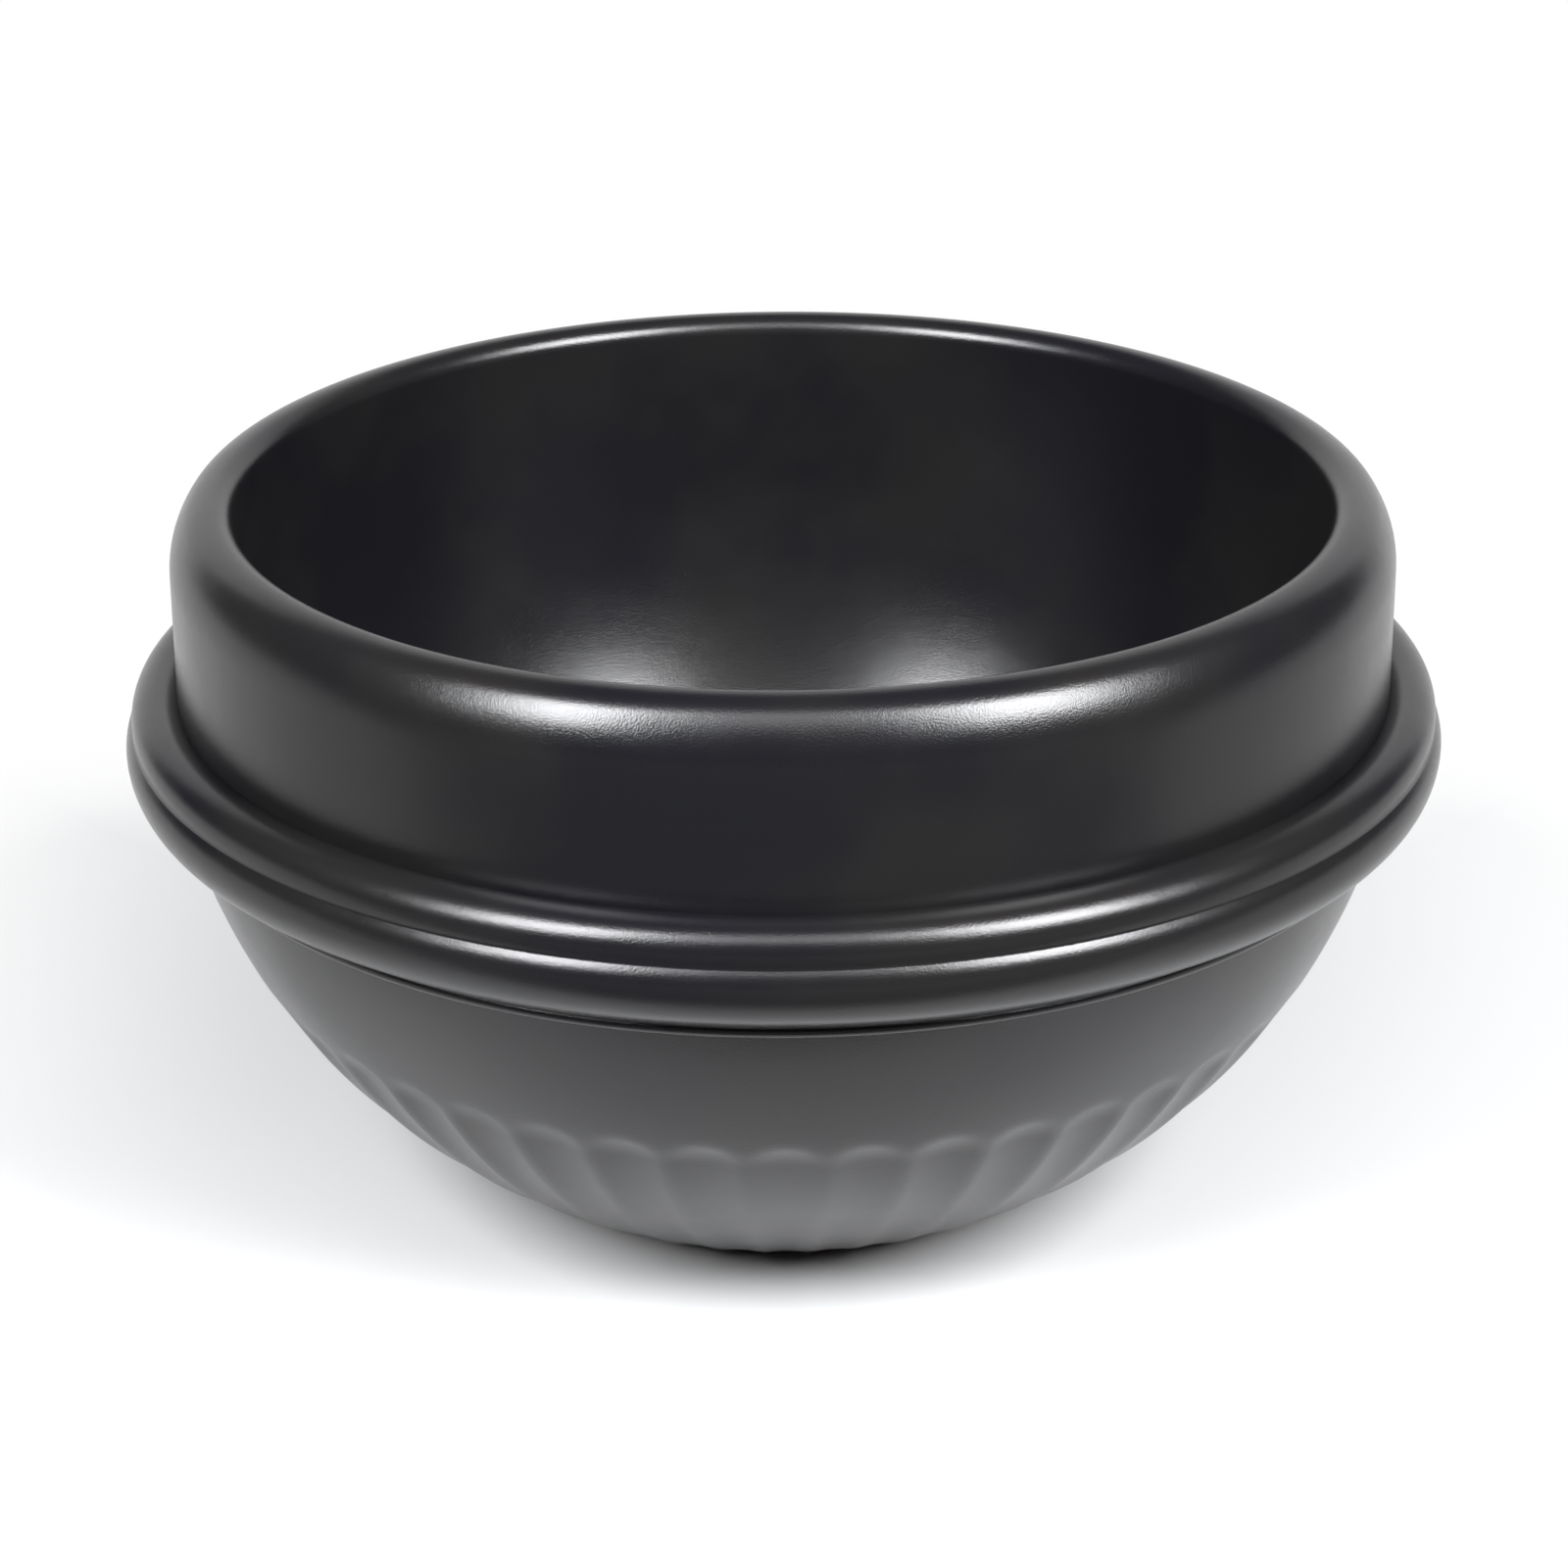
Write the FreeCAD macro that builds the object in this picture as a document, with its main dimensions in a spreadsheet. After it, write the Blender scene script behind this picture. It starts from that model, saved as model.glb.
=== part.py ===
# Earthenware stew pot, one fired and glazed piece.
# A thick wall is turned to one section: a rounded bowl on a small flat base, a doubled
# ring round the shoulder, and a plain upright collar that ends in a full rounded lip.
# Shallow flutes with arched tops are cut up the outside of the bowl.
# Millimetres, +Z up, origin at the centre of the base.

import FreeCAD, Part
import math
import os
from enum import IntEnum

import Sketcher
from FreeCAD import Placement, Rotation, Vector

SIZES = {
    # mouth, lip and collar
    "pot_height": 97.0,
    "mouth_radius": 71.5,
    "collar_wall": 8.5,
    "lip_inner_round": 2.6,
    "lip_crest_round": 4.6,
    "lip_shoulder": 8.7,
    # ring round the shoulder, measured down from the lip and out from the collar
    "ring_drop": 31.9,
    "ring_reach": 7.0,
    "ring_depth": 9.0,
    "ring_under_round": 6.5,
    "lower_bead_round": 2.5,
    "upper_bead_round": 3.8,
    "upper_bead_setback": 0.9,
    "bead_spacing": 3.0,
    # base
    "base_radius": 32.2,
    "base_edge_round": 1.2,
    # bowl inside
    "straight_wall_depth": 23.0,
    "wall_thickness": 9.4,
    "floor_thickness": 10.0,
    "floor_corner_round": 14.0,
    # flutes
    "flute_count": 44,
    "flute_depth": 0.75,
    "flute_round": 20.0,
    "flute_top_height": 36.6,
    "flute_clearance": 1.0,
}

# every how many flutes one round of cuts takes, so that its cutters stay apart
CUT_ROUNDS = 4


class Axis(IntEnum):
    """Axes of a sketch."""

    LEVEL = -1
    UPRIGHT = -2


class Point(IntEnum):
    """Points of a sketch curve."""

    START = 1
    END = 2
    CENTRE = 3


LEVEL, UPRIGHT = Axis
START, END, CENTRE = Point
ORIGIN = (LEVEL, START)


def make_sheet(doc):
    """Keep the driving dimensions in a spreadsheet, one alias for each."""
    sheet = doc.addObject("Spreadsheet::Sheet", "sizes")
    for row, (alias, value) in enumerate(SIZES.items(), start=1):
        sheet.set(f"A{row}", alias)
        sheet.set(f"B{row}", str(value))
        sheet.setAlias(f"B{row}", alias)
    doc.recompute()


def origin_feature(body, role):
    """Return the body's own origin plane or axis with this role."""
    return next(item for item in body.Origin.OriginFeatures if item.Role == role)


def direction(centre, point):
    """Direction from a centre to a point, in degrees."""
    return math.degrees(math.atan2(point[1] - centre[1], point[0] - centre[0]))


def bowl_ball():
    """Height and radius of the ball, centred on the axis, that the outside of the bowl follows."""
    collar = SIZES["mouth_radius"] + SIZES["collar_wall"]
    foot = SIZES["pot_height"] - SIZES["ring_drop"] - SIZES["ring_depth"]
    toe = SIZES["base_radius"]
    height = (collar**2 + foot**2 - toe**2) / (2 * foot)
    return height, math.hypot(toe, height)


class Section:
    """A closed section drawn in order, each curve joined to the one before it."""

    def __init__(self, body, name):
        self.sketch = body.newObject("Sketcher::SketchObject", name)
        self.sketch.AttachmentSupport = [(origin_feature(body, "XZ_Plane"), "")]
        self.sketch.MapMode = "FlatFace"
        self.open_end = None

    def constrain(self, *words):
        """Add one constraint and return its number."""
        return self.sketch.addConstraint(Sketcher.Constraint(*words))

    def measure(self, name, expression, *words):
        """Add a driving size that follows the sheet."""
        index = self.constrain(*words)
        self.sketch.renameConstraint(index, name)
        self.sketch.setExpression(f"Constraints.{name}", expression)

    def place_x(self, name, expression, point, value):
        """Hold a point at its distance from the upright axis."""
        self.measure(name, expression, "DistanceX", *ORIGIN, *point, value)

    def place_z(self, name, expression, point, value):
        """Hold a point at its height above the base."""
        self.measure(name, expression, "DistanceY", *ORIGIN, *point, value)

    def read_out(self, name, *words):
        """Name a solved size, so that other features can follow it."""
        index = self.constrain(*words)
        self.sketch.setDriving(index, False)
        self.sketch.renameConstraint(index, name)

    def add(self, curve, first, last, joint):
        """Add a curve and join its first end to the curve before it."""
        index = self.sketch.addGeometry(curve)
        if self.open_end:
            self.constrain(joint, *self.open_end, index, first)
        self.open_end = (index, last)
        return index

    def line(self, start, end, joint="Tangent"):
        """Draw a straight edge."""
        return self.add(Part.LineSegment(Vector(*start), Vector(*end)), START, END, joint)

    def arc(self, centre, radius, start, end, joint="Tangent"):
        """Draw an arc between two directions; a radius given by name follows the sheet."""
        circle = Part.Circle(Vector(*centre), Vector(0, 0, 1), SIZES.get(radius, radius))
        low, high = sorted((math.radians(start), math.radians(end)))
        ends = (START, END) if start < end else (END, START)
        index = self.add(Part.ArcOfCircle(circle, low, high), *ends, joint)
        if radius in SIZES:
            self.measure(radius, f"sizes.{radius}", "Radius", index, SIZES[radius])
        return index

    def sharp_corner(self, point, *curves):
        """Mark where two curves would meet if the corner between them had no round."""
        index = self.sketch.addGeometry(Part.Point(Vector(*point)), True)
        for curve in curves:
            self.constrain("PointOnObject", index, START, curve)
        return (index, START)


def draw_wall(body):
    """Draw the wall's section, from the base up the outside, over the lip and down inside."""
    size = SIZES
    top = size["pot_height"]
    mouth = size["mouth_radius"]
    collar = mouth + size["collar_wall"]
    ring = collar + size["ring_reach"]
    low_bead = top - size["ring_drop"]
    foot = low_bead - size["ring_depth"]
    wall = Section(body, "wall_section")

    # base and bowl outside
    toe = size["base_radius"]
    toe_round = size["base_edge_round"]
    ball_height, ball_radius = bowl_ball()
    bowl_hub = (0, ball_height)
    bowl_start = direction(bowl_hub, (toe, 0))
    bowl_end = direction(bowl_hub, (collar, foot))
    base = wall.line((0, 0), (toe - toe_round, 0))
    wall.arc((toe - toe_round, toe_round), "base_edge_round", -90, bowl_start)
    bowl = wall.arc(bowl_hub, ball_radius, bowl_start, bowl_end)

    # ring: its underside, then two beads that meet in a groove
    under = size["ring_under_round"]
    under_hub = (ring - under, low_bead)
    reach = math.hypot(collar - under_hub[0], foot - low_bead)
    under_start = direction(under_hub, (collar, foot)) + math.degrees(math.acos(under / reach))
    under_end = (
        under_hub[0] + under * math.cos(math.radians(under_start)),
        under_hub[1] + under * math.sin(math.radians(under_start)),
    )
    high_bead = low_bead + size["bead_spacing"]
    low_hub = (ring - size["lower_bead_round"], low_bead)
    high_hub = (ring - size["upper_bead_setback"] - size["upper_bead_round"], high_bead)
    groove = (ring, (low_bead + high_bead) / 2)
    high_turn = 180 - math.degrees(math.acos((high_hub[0] - collar) / size["upper_bead_round"]))
    fold = high_bead + size["upper_bead_round"] * math.sin(math.radians(high_turn))
    under_line = wall.line((collar, foot), under_end, joint="Coincident")
    wall.arc(under_hub, "ring_under_round", under_start, 0)
    low_arc = wall.arc(low_hub, "lower_bead_round", 0, direction(low_hub, groove))
    high_arc = wall.arc(
        high_hub,
        "upper_bead_round",
        direction(high_hub, groove),
        high_turn,
        joint="Coincident",
    )

    # collar, lip and upright inner wall
    shoulder = top - size["lip_shoulder"]
    crest = mouth + size["lip_inner_round"]
    spring = top - size["straight_wall_depth"]
    crest_hub = (crest, top - size["lip_crest_round"])
    # the flatter arc that joins the collar to the crest
    level_gap = collar - crest
    flat_gap = level_gap - size["lip_crest_round"]
    upright_gap = crest_hub[1] - shoulder
    flat = size["lip_crest_round"] + (flat_gap**2 + upright_gap**2) / (2 * flat_gap)
    flat_hub = (collar - flat, shoulder)
    flat_turn = direction(flat_hub, crest_hub)
    collar_line = wall.line((collar, fold), (collar, shoulder), joint="Coincident")
    wall.arc(flat_hub, flat, 0, flat_turn)
    crest_arc = wall.arc(crest_hub, "lip_crest_round", flat_turn, 90)
    lip_hub = (crest, top - size["lip_inner_round"])
    wall.arc(lip_hub, "lip_inner_round", 90, 180)
    inner_line = wall.line((mouth, lip_hub[1]), (mouth, spring))

    # bowl inside, down to the floor and in to the axis
    floor = size["floor_thickness"]
    corner = size["floor_corner_round"]
    inner_round = ball_radius - size["wall_thickness"]
    floor_edge = math.sqrt(inner_round**2 - (ball_height - floor) ** 2)
    run = mouth - floor_edge
    cavity = (run**2 + (spring - floor) ** 2) / (2 * run)
    corner_run = math.sqrt((cavity - corner) ** 2 - (spring - floor - corner) ** 2)
    cavity_hub = (mouth - cavity, spring)
    corner_hub = (cavity_hub[0] + corner_run, floor + corner)
    corner_turn = direction(cavity_hub, corner_hub)
    cavity_arc = wall.arc(cavity_hub, cavity, 0, corner_turn)
    wall.arc(corner_hub, "floor_corner_round", corner_turn, -90)
    floor_line = wall.line((corner_hub[0], floor), (0, floor))
    axis_line = wall.line((0, floor), (0, 0), joint="Coincident")
    wall.constrain("Coincident", axis_line, END, base, START)
    wall.constrain("Coincident", base, START, *ORIGIN)

    # sizes that hold the section
    wall.constrain("Horizontal", base)
    wall.constrain("Vertical", axis_line)
    wall.constrain("Vertical", collar_line)
    wall.constrain("Vertical", inner_line)
    wall.constrain("Horizontal", floor_line)
    toe_corner = wall.sharp_corner((toe, 0), base, bowl)
    floor_corner = wall.sharp_corner((floor_edge, floor), cavity_arc, floor_line)
    wall.place_x("base_radius", "sizes.base_radius", toe_corner, toe)
    wall.constrain("PointOnObject", bowl, CENTRE, UPRIGHT)
    wall.place_x("collar_radius", "sizes.mouth_radius + sizes.collar_wall", (collar_line, END), collar)
    wall.constrain("Vertical", under_line, START, collar_line, END)
    wall.place_z(
        "foot_height",
        "sizes.pot_height - sizes.ring_drop - sizes.ring_depth",
        (under_line, START),
        foot,
    )
    wall.place_x(
        "ring_radius",
        "sizes.mouth_radius + sizes.collar_wall + sizes.ring_reach",
        (low_arc, START),
        ring,
    )
    wall.place_z("low_bead_height", "sizes.pot_height - sizes.ring_drop", (low_arc, START), low_bead)
    wall.constrain("Horizontal", low_arc, START, low_arc, CENTRE)
    wall.place_x(
        "high_bead_centre",
        "sizes.mouth_radius + sizes.collar_wall + sizes.ring_reach"
        " - sizes.upper_bead_setback - sizes.upper_bead_round",
        (high_arc, CENTRE),
        high_hub[0],
    )
    wall.measure(
        "bead_spacing",
        "sizes.bead_spacing",
        "DistanceY",
        low_arc,
        CENTRE,
        high_arc,
        CENTRE,
        size["bead_spacing"],
    )
    wall.place_x("crest_radius", "sizes.mouth_radius + sizes.lip_inner_round", (crest_arc, END), crest)
    wall.constrain("Vertical", crest_arc, CENTRE, crest_arc, END)
    wall.place_z("shoulder_height", "sizes.pot_height - sizes.lip_shoulder", (collar_line, END), shoulder)
    wall.place_z("pot_height", "sizes.pot_height", (crest_arc, END), top)
    wall.place_z("spring_height", "sizes.pot_height - sizes.straight_wall_depth", (inner_line, END), spring)
    wall.place_z("floor_height", "sizes.floor_thickness", floor_corner, floor)
    wall.measure(
        "wall_thickness",
        "sizes.wall_thickness",
        "Distance",
        *floor_corner,
        bowl,
        size["wall_thickness"],
    )
    wall.read_out("ball_height", "DistanceY", *ORIGIN, bowl, CENTRE, ball_height)
    wall.read_out("ball_radius", "Radius", bowl, ball_radius)
    return wall.sketch


def turn_wall(body, section):
    """Turn the section once round the upright axis."""
    wall = body.newObject("PartDesign::Revolution", "thrown_wall")
    wall.Profile = section
    wall.ReferenceAxis = (origin_feature(body, "Z_Axis"), [""])
    wall.Angle = 360
    body.Document.recompute()
    return wall


def make_flute_cutter(doc):
    """Make the shape that one flute takes away: a trough along the bowl, round at the top."""
    body = doc.addObject("PartDesign::Body", "flute_cutter")
    height = "(wall_section.Constraints.ball_height / 1mm)"
    bowl = "(wall_section.Constraints.ball_radius / 1mm)"
    bed = f"({bowl} - sizes.flute_depth)"
    reach = f"({bed} + sizes.flute_round)"
    # directions seen from the ball's centre, below level: the arch's top, the centre of the
    # round end behind it, and the place where the trough has run out past the base
    arch_top = f"asin(({height} - sizes.flute_top_height) / {bowl})"
    set_back = f"acos(({reach}^2 + {bowl}^2 - sizes.flute_round^2) / (2 * {reach} * {bowl}))"
    dip = f"({arch_top} + {set_back})"
    run_out = f"asin(({height} + sizes.flute_clearance) / {bed})"

    section = body.newObject("Sketcher::SketchObject", "flute_section")
    section.AttachmentSupport = [(origin_feature(body, "XY_Plane"), "")]
    section.MapMode = "FlatFace"
    section.AttachmentOffset = Placement(Vector(), Rotation(Vector(0, 1, 0), 1))
    section.setExpression("AttachmentOffset.Base.z", height)
    section.setExpression("AttachmentOffset.Rotation.Angle", dip)
    deep = SIZES["flute_depth"] + SIZES["flute_clearance"]
    outer = bowl_ball()[1] + SIZES["flute_clearance"]
    half = math.sqrt(SIZES["flute_round"] ** 2 - (SIZES["flute_round"] - deep) ** 2)
    low, middle, high = Vector(outer, -half), Vector(outer - deep, 0), Vector(outer, half)
    bed_arc = section.addGeometry(Part.Arc(low, middle, high))
    lid = section.addGeometry(Part.LineSegment(low, high))
    first, last = (START, END) if section.getPoint(bed_arc, START).y < 0 else (END, START)
    section.addConstraint(Sketcher.Constraint("Coincident", bed_arc, first, lid, START))
    section.addConstraint(Sketcher.Constraint("Coincident", bed_arc, last, lid, END))
    section.addConstraint(Sketcher.Constraint("Vertical", lid))
    section.addConstraint(Sketcher.Constraint("PointOnObject", bed_arc, CENTRE, LEVEL))
    for expression, words in (
        ("sizes.flute_round", ("Radius", bed_arc, SIZES["flute_round"])),
        (reach, ("DistanceX", *ORIGIN, bed_arc, CENTRE, outer - deep + SIZES["flute_round"])),
        (f"{bowl} + sizes.flute_clearance", ("DistanceX", *ORIGIN, lid, START, outer)),
    ):
        index = section.addConstraint(Sketcher.Constraint(*words))
        section.setExpression(f"Constraints[{index}]", expression)

    trough = body.newObject("PartDesign::Revolution", "flute_trough")
    trough.Profile = section
    trough.ReferenceAxis = (section, ["V_Axis"])
    trough.setExpression("Angle", f"{run_out} - {dip}")

    top = body.newObject("PartDesign::AdditiveSphere", "flute_top")
    top.AttachmentSupport = [(origin_feature(body, "XY_Plane"), "")]
    top.MapMode = "FlatFace"
    top.setExpression("AttachmentOffset.Base.x", f"{reach} * cos({dip})")
    top.setExpression("AttachmentOffset.Base.z", f"{height} - {reach} * sin({dip})")
    top.setExpression("Radius", "sizes.flute_round")
    doc.recompute()
    return body


def cut_flutes(plain, cutter):
    """Cut the flutes all the way round; the cutters of one round of cuts don't overlap."""
    count = SIZES["flute_count"]
    whole = count - count % CUT_ROUNDS
    rounds = [range(first, whole, CUT_ROUNDS) for first in range(CUT_ROUNDS)]
    rounds += [[last] for last in range(whole, count)]
    shape = plain
    for places in rounds:
        tools = []
        for place in places:
            tool = cutter.copy()
            tool.rotate(Vector(), Vector(0, 0, 1), place * 360 / count)
            tools.append(tool)
        cut = shape.cut(tools)
        if not cut.Volume < shape.Volume:
            raise ValueError("the flutes cut nothing")
        shape = cut
    return shape


def make_pot(doc):
    """Make the pot: turn its wall, then cut the flutes."""
    wall = doc.addObject("PartDesign::Body", "wall")
    turn_wall(wall, draw_wall(wall))
    cutter = make_flute_cutter(doc)
    pot = doc.addObject("Part::Feature", "stew_pot")
    pot.Label = "stew_pot"
    pot.Shape = cut_flutes(wall.Shape, cutter.Shape).Solids[0]
    pot.Placement = Placement()
    return pot


def check(doc, pieces):
    """Stop before anything is written if a feature failed or a piece is not a sound solid."""
    doc.recompute()
    for item in doc.Objects:
        if {"Invalid", "Error"} & set(item.State):
            raise ValueError(f"{item.Label} failed")
    for piece in pieces:
        if piece.Shape.isNull() or not piece.Shape.isValid() or len(piece.Shape.Solids) != 1:
            raise ValueError(f"{piece.Label} is not one sound solid")


def main():
    """Build the pot and write it out."""
    doc = FreeCAD.newDocument("earthenware_stew_pot")
    make_sheet(doc)
    pieces = [make_pot(doc)]
    check(doc, pieces)
    os.makedirs("parts", exist_ok=True)
    for piece in pieces:
        piece.Shape.exportStep(f"parts/{piece.Label}.step")
        print(f"{piece.Label}: {piece.Shape.Volume / 1000:.1f} cm3")


main()
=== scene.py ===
import math

import bpy
from bpy.props import FloatProperty, FloatVectorProperty, IntProperty, PointerProperty
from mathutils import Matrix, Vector


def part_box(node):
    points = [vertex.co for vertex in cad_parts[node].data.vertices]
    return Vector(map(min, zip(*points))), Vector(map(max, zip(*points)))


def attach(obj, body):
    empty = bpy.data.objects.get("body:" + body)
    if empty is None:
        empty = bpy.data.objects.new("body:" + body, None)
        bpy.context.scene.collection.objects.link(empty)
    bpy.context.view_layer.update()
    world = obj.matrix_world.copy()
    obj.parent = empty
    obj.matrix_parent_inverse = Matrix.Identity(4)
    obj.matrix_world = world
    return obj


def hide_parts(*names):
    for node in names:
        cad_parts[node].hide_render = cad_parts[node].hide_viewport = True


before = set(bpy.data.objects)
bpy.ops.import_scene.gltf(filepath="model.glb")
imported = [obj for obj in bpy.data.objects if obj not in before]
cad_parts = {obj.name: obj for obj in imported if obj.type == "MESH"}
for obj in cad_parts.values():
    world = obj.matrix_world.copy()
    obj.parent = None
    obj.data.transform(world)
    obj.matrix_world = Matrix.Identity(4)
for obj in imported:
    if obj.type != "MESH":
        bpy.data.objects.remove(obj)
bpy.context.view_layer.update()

bl_info = {
    "name": "Earthenware Stew Pot",
    "version": (1, 0, 0),
    "blender": (4, 5, 0),
    "location": "View3D > Sidebar > Stew Pot",
    "description": "Turns, flutes and glazes a black earthenware stew pot and sets it in a plain studio",
    "category": "Add Mesh",
}

_, POT_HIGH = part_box("stew_pot")
UP = (0, 0, 1)
LEFT_TURN, RIGHT_TURN = 1, -1

# longest steps along the section's arcs, in metres
CREST_STEP = 0.0006
FLUTE_STEP = 0.0009
BEAD_STEP = 0.0010
WALL_STEP = 0.0020
INSIDE_STEP = 0.0026

# how far the fine steps, and the pressing, go on above the flutes' arches, in metres
FINE_ABOVE_FLUTES = 0.0020
PRESSED_ABOVE_FLUTES = 0.0015

STEPS_IN_FLUTE = 8
SHARP_CORNER = math.radians(35)
# points this near to each other are one, and a point this near to the bowl's ball lies on it
SAME_PLACE = 1e-6
ON_BOWL = 2e-5

GLAZE_IOR = 1.40
RELIEF_HEIGHT = 0.000010

# painted shade: the paper is painted grey between these distances in front of the pot's middle, in
# metres, standing in for a dim floor there that the glaze reflects as dark
PAINTED_SHADE_BETWEEN = (0.102, 0.140)
# and it is seen as turning white between these distances beside and behind the pot
WHITE_BETWEEN = (0.07, 0.16)
PAPER_SIZE = 5.0
BACKDROP_HEIGHT = 2.5

WORLD_TINT = (0.95, 0.97, 1.0)
WORLD_BRIGHTNESS = 0.06
LAMP_TINT = (0.97, 0.98, 1.0)
LAMP_DISTANCE = 1.2
LAMP_AIM = Vector((0, 0, 0.06))
# name, degrees to the right of the camera, degrees above the floor, width, height, share of the power
SOFTBOXES = (
    ("softbox_left", -44, 40, 0.42, 0.60, 1.0),
    ("softbox_right", 49, 40, 0.50, 0.60, 1.0),
    ("softbox_middle", 0, 53, 0.80, 0.60, 0.10),
)


class StewPotSizes(bpy.types.PropertyGroup):
    """Sizes of the turned wall and its flutes."""

    pot_height: FloatProperty(
        name="Pot Height",
        description="Height of the lip above the base",
        default=POT_HIGH[2],
        unit="LENGTH",
    )
    ring_radius: FloatProperty(
        name="Ring Radius",
        description="Radius of the ring round the shoulder, the widest part of the pot",
        default=POT_HIGH[0],
        unit="LENGTH",
    )
    ring_reach: FloatProperty(
        name="Ring Reach",
        description="How far the ring stands out from the collar",
        default=0.0070,
        unit="LENGTH",
    )
    collar_wall: FloatProperty(
        name="Collar Wall",
        description="Thickness of the upright collar",
        default=0.0085,
        unit="LENGTH",
    )
    lip_inner_round: FloatProperty(
        name="Lip Inner Round",
        description="Radius of the lip on the inside",
        default=0.0026,
        unit="LENGTH",
    )
    lip_crest_round: FloatProperty(
        name="Lip Crest Round",
        description="Radius of the lip just outside its highest line",
        default=0.0046,
        unit="LENGTH",
    )
    lip_shoulder: FloatProperty(
        name="Lip Shoulder",
        description="Depth below the lip at which the collar starts to round over",
        default=0.0087,
        unit="LENGTH",
    )
    ring_drop: FloatProperty(
        name="Ring Drop",
        description="Depth of the lower bead below the lip",
        default=0.0327,
        unit="LENGTH",
    )
    ring_depth: FloatProperty(
        name="Ring Depth",
        description="Depth of the ring's foot below the lower bead",
        default=0.0082,
        unit="LENGTH",
    )
    ring_under_round: FloatProperty(
        name="Ring Under Round",
        description="Radius of the ring's underside",
        default=0.0065,
        unit="LENGTH",
    )
    lower_bead_round: FloatProperty(
        name="Lower Bead Round",
        description="Radius of the lower bead",
        default=0.0040,
        unit="LENGTH",
    )
    upper_bead_round: FloatProperty(
        name="Upper Bead Round",
        description="Radius of the upper bead",
        default=0.0038,
        unit="LENGTH",
    )
    upper_bead_setback: FloatProperty(
        name="Upper Bead Setback",
        description="How far the upper bead stands back from the lower one",
        default=0.0009,
        unit="LENGTH",
    )
    bead_spacing: FloatProperty(
        name="Bead Spacing",
        description="Height between the centres of the two beads",
        default=0.0038,
        unit="LENGTH",
    )
    groove_round: FloatProperty(
        name="Groove Round",
        description="Radius of the glaze that fills the groove between the beads",
        default=0.0006,
        unit="LENGTH",
    )
    foot_roll: FloatProperty(
        name="Ring Foot Roll",
        description="Radius of the fine roll of glaze where the ring meets the bowl",
        default=0.0009,
        unit="LENGTH",
    )
    base_radius: FloatProperty(
        name="Base Radius",
        description="Radius of the flat base",
        default=0.0322,
        unit="LENGTH",
    )
    base_edge_round: FloatProperty(
        name="Base Edge Round",
        description="Radius of the edge of the base",
        default=0.0012,
        unit="LENGTH",
    )
    straight_wall_depth: FloatProperty(
        name="Straight Wall Depth",
        description="Depth of the upright inner wall below the lip",
        default=0.0230,
        unit="LENGTH",
    )
    floor_thickness: FloatProperty(
        name="Floor Thickness",
        description="Thickness of the pot's floor",
        default=0.0100,
        unit="LENGTH",
    )
    floor_corner_round: FloatProperty(
        name="Floor Corner Round",
        description="Radius where the inside runs into the floor",
        default=0.0140,
        unit="LENGTH",
    )
    flute_count: IntProperty(
        name="Flute Count",
        description="Number of flutes round the bowl",
        default=44,
        min=3,
    )
    flute_depth: FloatProperty(
        name="Flute Depth",
        description="Depth of a flute at its middle",
        default=0.00075,
        unit="LENGTH",
    )
    flute_round: FloatProperty(
        name="Flute Round",
        description="Radius of a flute's trough",
        default=0.0200,
        unit="LENGTH",
    )
    flute_top_height: FloatProperty(
        name="Flute Top Height",
        description="Height of the top of the flutes' arches above the base",
        default=0.0366,
        unit="LENGTH",
    )
    flute_edge_softness: FloatProperty(
        name="Flute Edge Softness",
        description="How much the glaze softens the edges of the flutes",
        default=0.00014,
        unit="LENGTH",
    )


class StewPotGlaze(bpy.types.PropertyGroup):
    """Colours and gloss of the glaze."""

    cool_black: FloatVectorProperty(
        name="Cool Black",
        description="The glaze where it lies thick",
        default=(0.0038, 0.0038, 0.0050),
        subtype="COLOR",
        size=3,
        min=0,
        max=1,
    )
    warm_black: FloatVectorProperty(
        name="Warm Black",
        description="The glaze where it lies thinner",
        default=(0.0065, 0.0061, 0.0061),
        subtype="COLOR",
        size=3,
        min=0,
        max=1,
    )
    clay_brown: FloatVectorProperty(
        name="Clay Brown",
        description="The clay that shows through at the edge of the base",
        default=(0.0550, 0.0300, 0.0160),
        subtype="COLOR",
        size=3,
        min=0,
        max=1,
    )
    gloss_roughness: FloatProperty(
        name="Gloss Roughness",
        description="Roughness of the satin glaze",
        default=0.23,
        min=0,
        max=1,
        subtype="FACTOR",
    )


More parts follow.
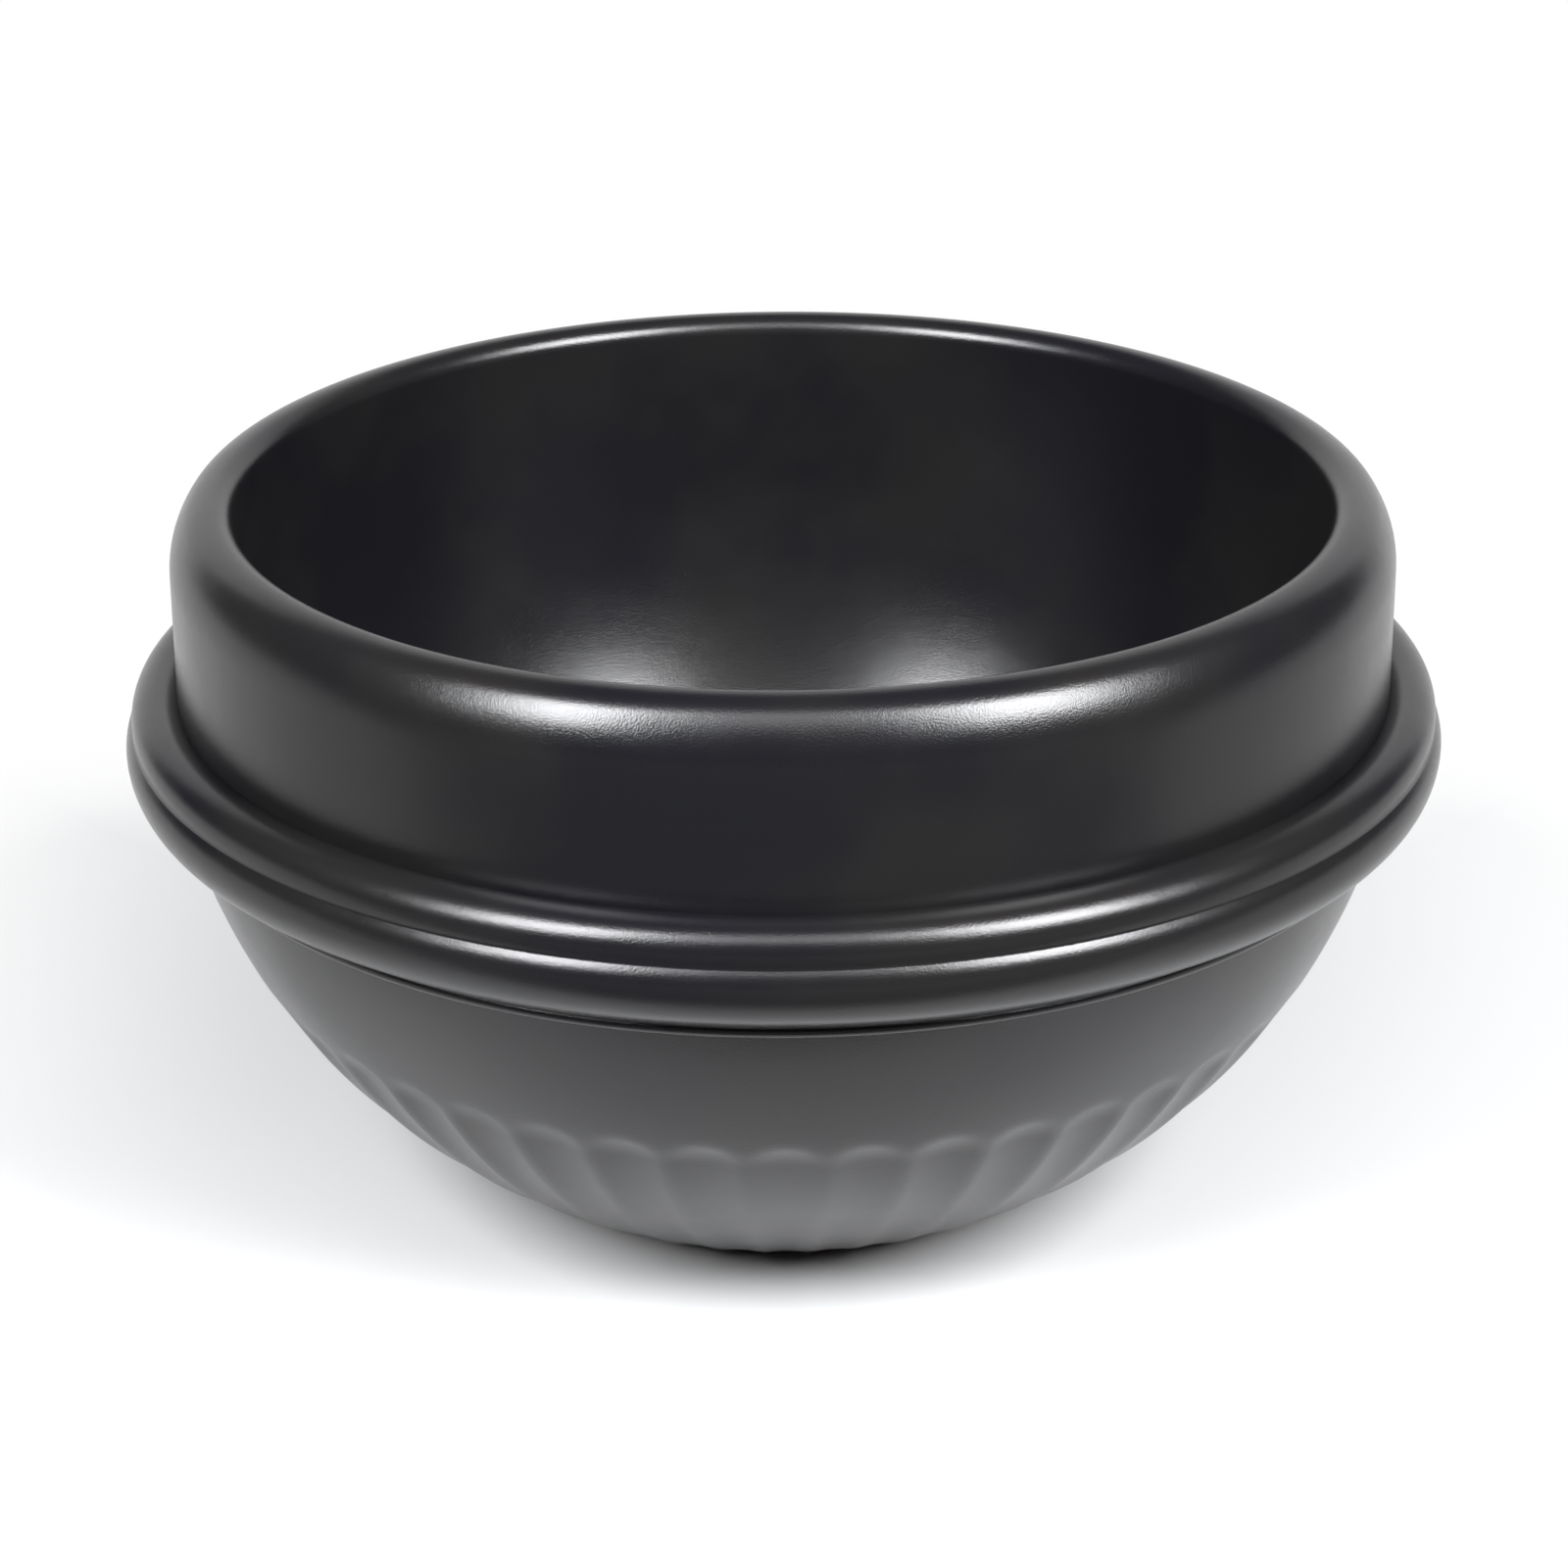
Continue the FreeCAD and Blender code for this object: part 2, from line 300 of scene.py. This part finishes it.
class StewPotStudio(bpy.types.PropertyGroup):
    """Floor, lamps and camera."""

    camera_distance: FloatProperty(
        name="Camera Distance",
        description="Distance from the camera to the middle of the pot",
        default=0.6090,
        unit="LENGTH",
    )
    camera_raise: FloatProperty(
        name="Camera Raise",
        description="Angle by which the camera looks down",
        default=math.radians(23.03),
        subtype="ANGLE",
        unit="ROTATION",
    )
    camera_aim_height: FloatProperty(
        name="Camera Aim Height",
        description="Height of the point that the camera looks at",
        default=0.0539,
        unit="LENGTH",
    )
    camera_roll: FloatProperty(
        name="Camera Roll",
        description="Small tilt of the camera about its line of sight",
        default=math.radians(0.3),
        subtype="ANGLE",
        unit="ROTATION",
    )
    camera_lens: FloatProperty(
        name="Camera Lens",
        description="Focal length on a 36 mm sensor",
        default=104.03,
        subtype="DISTANCE_CAMERA",
    )
    softbox_brightness: FloatProperty(
        name="Softbox Brightness",
        description="Power of the softboxes for each square metre",
        default=145.0,
        min=0,
    )
    floor_paper: FloatVectorProperty(
        name="Floor Paper",
        description="Paper round and behind the pot",
        default=(0.43, 0.43, 0.43),
        subtype="COLOR",
        size=3,
        min=0,
        max=1,
    )
    # painted shade: the paper well in front of the pot takes this grey, standing in for a dim floor
    # there that the glaze reflects as dark
    floor_painted_shade: FloatVectorProperty(
        name="Floor Grey",
        description="Paper well in front of the pot, where it is graded to grey",
        default=(0.06, 0.06, 0.06),
        subtype="COLOR",
        size=3,
        min=0,
        max=1,
    )


class Section:
    """The pot's section, drawn point by point in edit mode on the plane of X and Z."""

    TURN_STEP = math.radians(6.5)

    def __init__(self, name):
        bpy.ops.object.select_all(action="DESELECT")
        bpy.ops.mesh.primitive_plane_add(size=0.001)
        self.piece = bpy.context.object
        self.piece.name = name
        self.piece.data.name = name
        bpy.ops.object.mode_set(mode="EDIT")
        bpy.ops.mesh.merge(type="CENTER")
        self.place = Vector((0, 0))

    def line(self, radius, height, steps=1):
        """Draw a straight stretch to a point."""
        end = Vector((radius, height))
        step = (end - self.place) / steps
        for _ in range(steps):
            bpy.ops.mesh.extrude_region_move(TRANSFORM_OT_translate={"value": (step.x, 0, step.y)})
        self.place = end

    def arc(self, hub, end, turn, longest):
        """Draw a round stretch about a hub to a point, in steps of at most the longest length."""
        hub, end = Vector(hub), Vector(end)
        first, last = self.place - hub, end - hub
        sweep = (turn * (math.atan2(last.y, last.x) - math.atan2(first.y, first.x))) % math.tau
        steps = math.ceil(max(sweep / self.TURN_STEP, sweep * first.length / longest))
        bpy.ops.mesh.spin(
            steps=steps,
            angle=sweep,
            center=(hub.x, 0, hub.y),
            axis=(0, turn, 0),
        )
        self.place = end


def toward(start, target, reach):
    """Point at a distance from a start, on the way to a target."""
    start, target = Vector(start), Vector(target)
    return start + (target - start).normalized() * reach


def meeting(hub_a, reach_a, hub_b, reach_b):
    """Point at given distances from two hubs, on the right of the way from the first to the second."""
    way = Vector(hub_b) - Vector(hub_a)
    gap = way.length
    along = (reach_a**2 - reach_b**2 + gap**2) / (2 * gap)
    aside = math.sqrt(reach_a**2 - along**2)
    way.normalize()
    return Vector(hub_a) + way * along + Vector((way.y, -way.x)) * aside


def underside_touch(hub, reach, corner):
    """Point where the straight way out of a corner touches the round underside of the ring."""
    way = corner - hub
    angle = math.atan2(way.y, way.x) + math.acos(reach / way.length)
    return hub + Vector((math.cos(angle), math.sin(angle))) * reach


def bowl_ball(size):
    """Height of the centre and radius of the ball that the outside of the bowl follows."""
    collar = size.ring_radius - size.ring_reach
    foot = size.pot_height - size.ring_drop - size.ring_depth
    height = (collar**2 + foot**2 - size.base_radius**2) / (2 * foot)
    return height, math.hypot(size.base_radius, height)


def draw_base_and_bowl(section, size, roll_start):
    """Draw the flat base, its rounded edge and the outside of the bowl up to the ring's foot."""
    height, radius = bowl_ball(size)
    hub = Vector((0, height))
    edge = size.base_edge_round
    edge_hub = Vector((math.sqrt((radius - edge) ** 2 - (height - edge) ** 2), edge))
    section.line(edge_hub.x, 0, steps=6)
    section.arc(edge_hub, toward(hub, edge_hub, radius), LEFT_TURN, BEAD_STEP)
    above_flutes = size.flute_top_height + FINE_ABOVE_FLUTES
    band_top = (math.sqrt(radius**2 - (height - above_flutes) ** 2), above_flutes)
    section.arc(hub, band_top, LEFT_TURN, FLUTE_STEP)
    section.arc(hub, roll_start, LEFT_TURN, WALL_STEP)


def draw_ring(section, size, roll_hub, under_hub, under_start):
    """Draw the ring: the roll at its foot, its underside, two beads and the fold against the collar."""
    ring = size.ring_radius
    collar = ring - size.ring_reach
    low_height = size.pot_height - size.ring_drop
    high_height = low_height + size.bead_spacing
    low_hub = Vector((ring - size.lower_bead_round, low_height))
    high_round = size.upper_bead_round
    high_hub = Vector((ring - size.upper_bead_setback - high_round, high_height))
    groove = size.groove_round
    groove_hub = meeting(low_hub, size.lower_bead_round + groove, high_hub, high_round + groove)
    fold_height = high_height + math.sqrt(high_round**2 - (high_hub.x - collar) ** 2)

    section.arc(roll_hub, toward(roll_hub, under_start, size.foot_roll), LEFT_TURN, BEAD_STEP)
    section.line(*under_start, steps=3)
    section.arc(under_hub, (ring, low_height), LEFT_TURN, BEAD_STEP)
    section.arc(low_hub, toward(low_hub, groove_hub, size.lower_bead_round), LEFT_TURN, BEAD_STEP)
    section.arc(groove_hub, toward(groove_hub, high_hub, groove), RIGHT_TURN, BEAD_STEP)
    section.arc(high_hub, (collar, fold_height), LEFT_TURN, BEAD_STEP)


def draw_collar_and_lip(section, size):
    """Draw the upright collar and the lip, down to the upright inner wall."""
    collar = size.ring_radius - size.ring_reach
    mouth = collar - size.collar_wall
    top = size.pot_height
    shoulder = top - size.lip_shoulder
    crest = mouth + size.lip_inner_round
    crest_hub = Vector((crest, top - size.lip_crest_round))
    level_gap = collar - crest - size.lip_crest_round
    upright_gap = crest_hub.y - shoulder
    flat = size.lip_crest_round + (level_gap**2 + upright_gap**2) / (2 * level_gap)
    flat_hub = Vector((collar - flat, shoulder))
    inner_hub = (crest, top - size.lip_inner_round)
    section.line(collar, shoulder, steps=6)
    section.arc(flat_hub, toward(flat_hub, crest_hub, flat), LEFT_TURN, BEAD_STEP)
    section.arc(crest_hub, (crest, top), LEFT_TURN, CREST_STEP)
    section.arc(inner_hub, (mouth, inner_hub[1]), LEFT_TURN, BEAD_STEP)


def draw_inside(section, size):
    """Draw the upright inner wall, the round inside and the floor, in to the axis."""
    mouth = size.ring_radius - size.ring_reach - size.collar_wall
    spring = size.pot_height - size.straight_wall_depth
    floor = size.floor_thickness
    corner = size.floor_corner_round
    hub = Vector((0, spring))
    corner_run = math.sqrt((mouth - corner) ** 2 - (spring - floor - corner) ** 2)
    corner_hub = Vector((corner_run, floor + corner))
    section.line(mouth, spring, steps=5)
    section.arc(hub, toward(hub, corner_hub, mouth), RIGHT_TURN, INSIDE_STEP)
    section.arc(corner_hub, (corner_run, floor), RIGHT_TURN, WALL_STEP)
    section.line(0, floor, steps=6)


def draw_section(size):
    """Draw the whole section of the wall and return the piece, still in edit mode."""
    collar = size.ring_radius - size.ring_reach
    low_height = size.pot_height - size.ring_drop
    foot_corner = Vector((collar, low_height - size.ring_depth))
    under_hub = Vector((size.ring_radius - size.ring_under_round, low_height))
    under_start = underside_touch(under_hub, size.ring_under_round, foot_corner)
    height, radius = bowl_ball(size)
    roll = size.foot_roll
    # the roll is sunk into the bowl by a third
    roll_hub = toward(foot_corner, (0, height), roll / 3)
    roll_start = meeting((0, height), radius, roll_hub, roll)
    section = Section("glazed_pot")
    draw_base_and_bowl(section, size, roll_start)
    draw_ring(section, size, roll_hub, under_hub, under_start)
    draw_collar_and_lip(section, size)
    draw_inside(section, size)
    return section.piece


def turn_wall(size):
    """Turn the section once round the axis into a closed wall."""
    bpy.ops.mesh.select_all(action="SELECT")
    bpy.ops.mesh.spin(
        steps=STEPS_IN_FLUTE * size.flute_count,
        angle=math.tau,
        center=(0, 0, 0),
        axis=UP,
    )
    bpy.ops.mesh.select_all(action="SELECT")
    bpy.ops.mesh.remove_doubles(threshold=SAME_PLACE)
    bpy.ops.mesh.normals_make_consistent(inside=False)
    bpy.ops.object.mode_set(mode="OBJECT")


def flute_fall(place, turn, size, ball):
    """How far a flute's trough reaches inside the bowl at a place; below zero outside the flute."""
    height, radius = ball
    reach = radius - size.flute_depth + size.flute_round
    arch_top = math.asin((height - size.flute_top_height) / radius)
    set_back = math.acos((reach**2 + radius**2 - size.flute_round**2) / (2 * reach * radius))
    dip = arch_top + set_back
    out = place.x * math.cos(turn) + place.y * math.sin(turn)
    aside = place.y * math.cos(turn) - place.x * math.sin(turn)
    down = height - place.z
    angle = max(math.atan2(down, out), dip)
    gap = math.hypot(out - reach * math.cos(angle), down - reach * math.sin(angle))
    return size.flute_round - math.hypot(gap, aside)


def soft_larger(first, second, softness):
    """The larger of two lengths, with a soft change from one to the other."""
    return (first + second + math.hypot(first - second, softness)) / 2


def press_flutes(piece, size):
    """Press the flutes into the outside of the bowl, with edges softened by the glaze."""
    ball = bowl_ball(size)
    height, radius = ball
    hub = Vector((0, 0, height))
    top = size.flute_top_height + PRESSED_ABOVE_FLUTES
    deepest = 2 * size.flute_depth
    pitch = math.tau / size.flute_count
    group = piece.vertex_groups.new(name="flutes")
    soft = size.flute_edge_softness
    for point in piece.data.vertices:
        place = point.co
        if place.z > top or abs((place - hub).length - radius) > ON_BOWL:
            continue
        near = math.floor(math.atan2(place.y, place.x) / pitch)
        falls = [flute_fall(place, turn * pitch, size, ball) for turn in (near, near + 1)]
        depth = soft_larger(soft_larger(*falls, soft), 0, soft)
        group.add([point.index], min(depth / deepest, 1), "REPLACE")
    press = piece.modifiers.new("flutes", "DISPLACE")
    press.direction = "NORMAL"
    press.mid_level = 0
    press.strength = -deepest
    press.vertex_group = group.name
    bpy.ops.object.modifier_apply(modifier=press.name)
    piece.vertex_groups.clear()


class Nodes:
    """A short way to add nodes to a node tree and join them."""

    def __init__(self, tree):
        self.tree = tree

    def add(self, kind, inputs=None, **settings):
        """Add a node, with its settings, and with values or links on its sockets."""
        node = self.tree.nodes.new(kind)
        for name, value in settings.items():
            setattr(node, name, value)
        for name, value in (inputs or {}).items():
            if isinstance(value, bpy.types.NodeSocket):
                self.tree.links.new(value, node.inputs[name])
            else:
                node.inputs[name].default_value = value
        return node

    def math(self, operation, first, second=0.0):
        """Add a math node and return its result."""
        return self.add("ShaderNodeMath", {0: first, 1: second}, operation=operation).outputs[0]

    def ramp(self, value, low, high, start=0.0, end=1.0):
        """Change a value smoothly from start to end as it goes from low to high."""
        inputs = {"Value": value, "From Min": low, "From Max": high, "To Min": start, "To Max": end}
        return self.add("ShaderNodeMapRange", inputs, interpolation_type="SMOOTHSTEP").outputs[0]

    def colour(self, mask, first, second):
        """Mix two colours by a mask and return the colour."""
        inputs = {0: mask, 6: first, 7: second}
        return self.add("ShaderNodeMix", inputs, data_type="RGBA").outputs[2]


def opaque(colour):
    """A colour with full alpha."""
    return (*colour, 1.0)


def mottle_group():
    """Shared effect: soft uneven patches over a surface, from Object coordinates."""
    name = "soft_mottle"
    if name in bpy.data.node_groups:
        return bpy.data.node_groups[name]
    tree = bpy.data.node_groups.new(name, "ShaderNodeTree")
    face = tree.interface
    face.new_socket("Place", in_out="INPUT", socket_type="NodeSocketVector")
    for label, default in (("Scale", 50.0), ("Detail", 3.0), ("Low", 0.35), ("High", 0.65)):
        socket = face.new_socket(label, in_out="INPUT", socket_type="NodeSocketFloat")
        socket.default_value = default
    face.new_socket("Mask", in_out="OUTPUT", socket_type="NodeSocketFloat")
    nodes = Nodes(tree)
    given = nodes.add("NodeGroupInput").outputs
    noise = nodes.add(
        "ShaderNodeTexNoise",
        {"Vector": given["Place"], "Scale": given["Scale"], "Detail": given["Detail"]},
    )
    mask = nodes.ramp(noise.outputs[0], given["Low"], given["High"])
    nodes.add("NodeGroupOutput", {"Mask": mask})
    return tree


def new_material(name):
    """Make a material with an empty node tree; return it with its nodes."""
    material = bpy.data.materials.new(name)
    material.use_nodes = True
    material.node_tree.nodes.clear()
    return material, Nodes(material.node_tree)


def black_glaze(look):
    """Satin black glaze over brown clay, thinner and browner at the edge of the base."""
    material, nodes = new_material("black_glaze")
    place = nodes.add("ShaderNodeTexCoord").outputs["Object"]
    height = nodes.add("ShaderNodeSeparateXYZ", {0: place}).outputs["Z"]

    def spread(scale, detail, low=0.35, high=0.65):
        """Soft patches over the glaze; a larger scale makes them finer."""
        inputs = {"Place": place, "Scale": scale, "Detail": detail, "Low": low, "High": high}
        return nodes.add("ShaderNodeGroup", inputs, node_tree=mottle_group()).outputs["Mask"]

    def relief(pattern, **inputs):
        """A very shallow relief of the glaze, a hundredth of a millimetre high."""
        inputs = {"Strength": 1.0, "Distance": RELIEF_HEIGHT, "Height": pattern, **inputs}
        return nodes.add("ShaderNodeBump", inputs).outputs[0]

    clouds = spread(28.0, 3.0)
    black = nodes.colour(clouds, opaque(look.cool_black), opaque(look.warm_black))
    # the clay shows through in a ragged line and fades out within 6 mm above the table
    ragged = nodes.math("MULTIPLY", spread(160.0, 4.0, 0.2, 0.8), 0.0030)
    thin = nodes.ramp(nodes.math("SUBTRACT", height, ragged), 0.0004, 0.0026, 0.8, 0.0)
    colour = nodes.colour(thin, black, opaque(look.clay_brown))

    gloss = look.gloss_roughness
    roughness = nodes.ramp(spread(70.0, 4.0), 0.0, 1.0, gloss - 0.010, gloss + 0.015)

    grain = relief(spread(4600.0, 2.0, 0.3, 0.7))
    orange_peel = relief(spread(240.0, 2.0, 0.2, 0.8), Normal=grain)
    shader = nodes.add(
        "ShaderNodeBsdfPrincipled",
        {
            "Base Color": colour,
            "Roughness": roughness,
            "Normal": orange_peel,
            "IOR": GLAZE_IOR,
        },
    )
    nodes.add("ShaderNodeOutputMaterial", {"Surface": shader.outputs[0]})
    return material


def studio_paper(studio):
    """Matt pale paper, with painted shade grading it to grey well in front of the pot, and plain white
    away from it.
    """
    material, nodes = new_material("studio_paper")
    place = nodes.add("ShaderNodeTexCoord").outputs["Object"]
    parts = nodes.add("ShaderNodeSeparateXYZ", {0: place}).outputs
    aside = nodes.math("ABSOLUTE", parts["X"])
    # painted shade: the paper goes grey well in front of the pot, standing in for a dimly lit floor
    # there that the glaze reflects
    shade_grading = nodes.ramp(nodes.math("MULTIPLY", parts["Y"], -1.0), *PAINTED_SHADE_BETWEEN)
    grey = opaque(studio.floor_painted_shade)
    mottled = nodes.add("ShaderNodeGroup", {"Place": place, "Scale": 6.0}, node_tree=mottle_group())
    faint = nodes.math("MULTIPLY", mottled.outputs["Mask"], 0.03)
    paper = nodes.colour(faint, opaque(studio.floor_paper), grey)
    colour = nodes.colour(shade_grading, paper, grey)
    shader = nodes.add(
        "ShaderNodeBsdfPrincipled",
        {"Base Color": colour, "Roughness": 0.9, "Specular IOR Level": 0.2},
    )
    rays = nodes.add("ShaderNodeLightPath").outputs
    # the pot's gloss shows the same white backdrop as the camera sees
    seen = nodes.math("MAXIMUM", rays["Is Camera Ray"], rays["Is Glossy Ray"])
    seen = nodes.math("MAXIMUM", seen, rays["Is Transmission Ray"])
    away = nodes.ramp(nodes.math("MAXIMUM", parts["Y"], aside), *WHITE_BETWEEN)
    plain = nodes.math("MULTIPLY", away, nodes.math("SUBTRACT", 1.0, shade_grading))
    backdrop = nodes.add("ShaderNodeEmission", {"Color": (1.0, 1.0, 1.0, 1.0), "Strength": 1.0})
    surface = nodes.add(
        "ShaderNodeMixShader",
        {0: nodes.math("MULTIPLY", seen, plain), 1: shader.outputs[0], 2: backdrop.outputs[0]},
    )
    nodes.add("ShaderNodeOutputMaterial", {"Surface": surface.outputs[0]})
    return material


def dress(piece, material):
    """Give a piece one material."""
    piece.data.materials.clear()
    piece.data.materials.append(material)


class STEWPOT_OT_glazed_pot(bpy.types.Operator):
    """Turn the pot's wall, press its flutes and glaze it"""

    bl_idname = "stewpot.glazed_pot"
    bl_label = "Glazed Pot"

    def execute(self, context):
        size = context.scene.stew_pot_sizes
        piece = draw_section(size)
        turn_wall(size)
        press_flutes(piece, size)
        bpy.ops.object.shade_smooth_by_angle(angle=SHARP_CORNER)
        glaze = black_glaze(context.scene.stew_pot_glaze)
        dress(piece, glaze)
        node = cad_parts["stew_pot"]
        for slot in node.material_slots:
            slot.material = glaze
        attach(piece, "root")
        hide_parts("stew_pot")
        return {"FINISHED"}


def add_softbox(name, azimuth, rise, width, tall, brightness):
    """Add a softbox that looks at the pot; azimuth 0 is over the camera, to the right is positive."""
    level = LAMP_DISTANCE * math.cos(rise)
    height = LAMP_DISTANCE * math.sin(rise)
    place = Vector((level * math.sin(azimuth), -level * math.cos(azimuth), height))
    bpy.ops.object.light_add(type="AREA", location=place + LAMP_AIM)
    lamp = bpy.context.object
    lamp.name = name
    lamp.rotation_euler = (-place).to_track_quat("-Z", "Y").to_euler()
    lamp.data.shape = "RECTANGLE"
    lamp.data.color = LAMP_TINT
    lamp.data.size = width
    lamp.data.size_y = tall
    lamp.data.energy = brightness * width * tall


def add_paper(studio):
    """Lay the studio paper: a wide floor, folded up into a backdrop behind the pot."""
    bpy.ops.object.select_all(action="DESELECT")
    bpy.ops.mesh.primitive_plane_add(size=PAPER_SIZE)
    paper = bpy.context.object
    paper.name = "studio_paper"
    bpy.ops.object.mode_set(mode="EDIT")
    bpy.ops.mesh.select_all(action="DESELECT")
    bpy.ops.mesh.select_mode(type="EDGE")
    bpy.ops.object.mode_set(mode="OBJECT")
    corners = paper.data.vertices
    for edge in paper.data.edges:
        edge.select = all(corners[end].co.y > 0 for end in edge.vertices)
    bpy.ops.object.mode_set(mode="EDIT")
    bpy.ops.mesh.extrude_region_move(TRANSFORM_OT_translate={"value": (0, 0, BACKDROP_HEIGHT)})
    bpy.ops.object.mode_set(mode="OBJECT")
    dress(paper, studio_paper(studio))


def add_camera(studio):
    """Place the camera where the photograph was taken from."""
    aim = Vector((0, 0, studio.camera_aim_height))
    rise = studio.camera_raise
    back = Vector((0, -math.cos(rise), math.sin(rise)))
    bpy.ops.object.camera_add(location=aim + back * studio.camera_distance)
    camera = bpy.context.object
    camera.name = "photo_camera"
    camera.rotation_euler = (math.pi / 2 - rise, 0, 0)
    camera.rotation_euler.rotate_axis("Z", -studio.camera_roll)
    camera.data.sensor_width = 36.0
    camera.data.lens = studio.camera_lens
    camera.data.clip_start = 0.01
    bpy.context.scene.camera = camera


class STEWPOT_OT_studio(bpy.types.Operator):
    """Lay the floor and set up the lamps, the surroundings and the camera"""

    bl_idname = "stewpot.studio"
    bl_label = "Studio"

    def execute(self, context):
        studio = context.scene.stew_pot_studio
        add_paper(studio)
        for name, azimuth, rise, width, tall, share in SOFTBOXES:
            brightness = studio.softbox_brightness * share
            add_softbox(name, math.radians(azimuth), math.radians(rise), width, tall, brightness)
        add_camera(studio)
        world = bpy.data.worlds.new("dim_studio")
        context.scene.world = world
        world.use_nodes = True
        sky = world.node_tree.nodes["Background"]
        sky.inputs["Color"].default_value = opaque(WORLD_TINT)
        sky.inputs["Strength"].default_value = WORLD_BRIGHTNESS
        context.scene.view_settings.view_transform = "Standard"
        return {"FINISHED"}


class VIEW3D_PT_stew_pot(bpy.types.Panel):
    """Panel that lists the pot's sizes, finish and studio"""

    bl_label = "Stew Pot"
    bl_space_type = "VIEW_3D"
    bl_region_type = "UI"
    bl_category = "Stew Pot"

    def draw(self, context):
        layout = self.layout
        for heading, group in (
            ("Sizes", context.scene.stew_pot_sizes),
            ("Glaze", context.scene.stew_pot_glaze),
            ("Studio", context.scene.stew_pot_studio),
        ):
            box = layout.box()
            box.label(text=heading)
            for name in group.bl_rna.properties.keys():
                if name not in {"rna_type", "name"}:
                    box.prop(group, name)
        layout.operator(STEWPOT_OT_glazed_pot.bl_idname)
        layout.operator(STEWPOT_OT_studio.bl_idname)


CLASSES = (
    StewPotSizes,
    StewPotGlaze,
    StewPotStudio,
    STEWPOT_OT_glazed_pot,
    STEWPOT_OT_studio,
    VIEW3D_PT_stew_pot,
)


def register():
    """Register the classes and hang the settings on the scene."""
    for cls in CLASSES:
        bpy.utils.register_class(cls)
    bpy.types.Scene.stew_pot_sizes = PointerProperty(type=StewPotSizes)
    bpy.types.Scene.stew_pot_glaze = PointerProperty(type=StewPotGlaze)
    bpy.types.Scene.stew_pot_studio = PointerProperty(type=StewPotStudio)


def unregister():
    """Take the settings and classes away again."""
    del bpy.types.Scene.stew_pot_studio
    del bpy.types.Scene.stew_pot_glaze
    del bpy.types.Scene.stew_pot_sizes
    for cls in reversed(CLASSES):
        bpy.utils.unregister_class(cls)


def main():
    """Make the pot and the studio."""
    register()
    bpy.ops.stewpot.glazed_pot()
    bpy.ops.stewpot.studio()


if __name__ == "__main__":
    main()
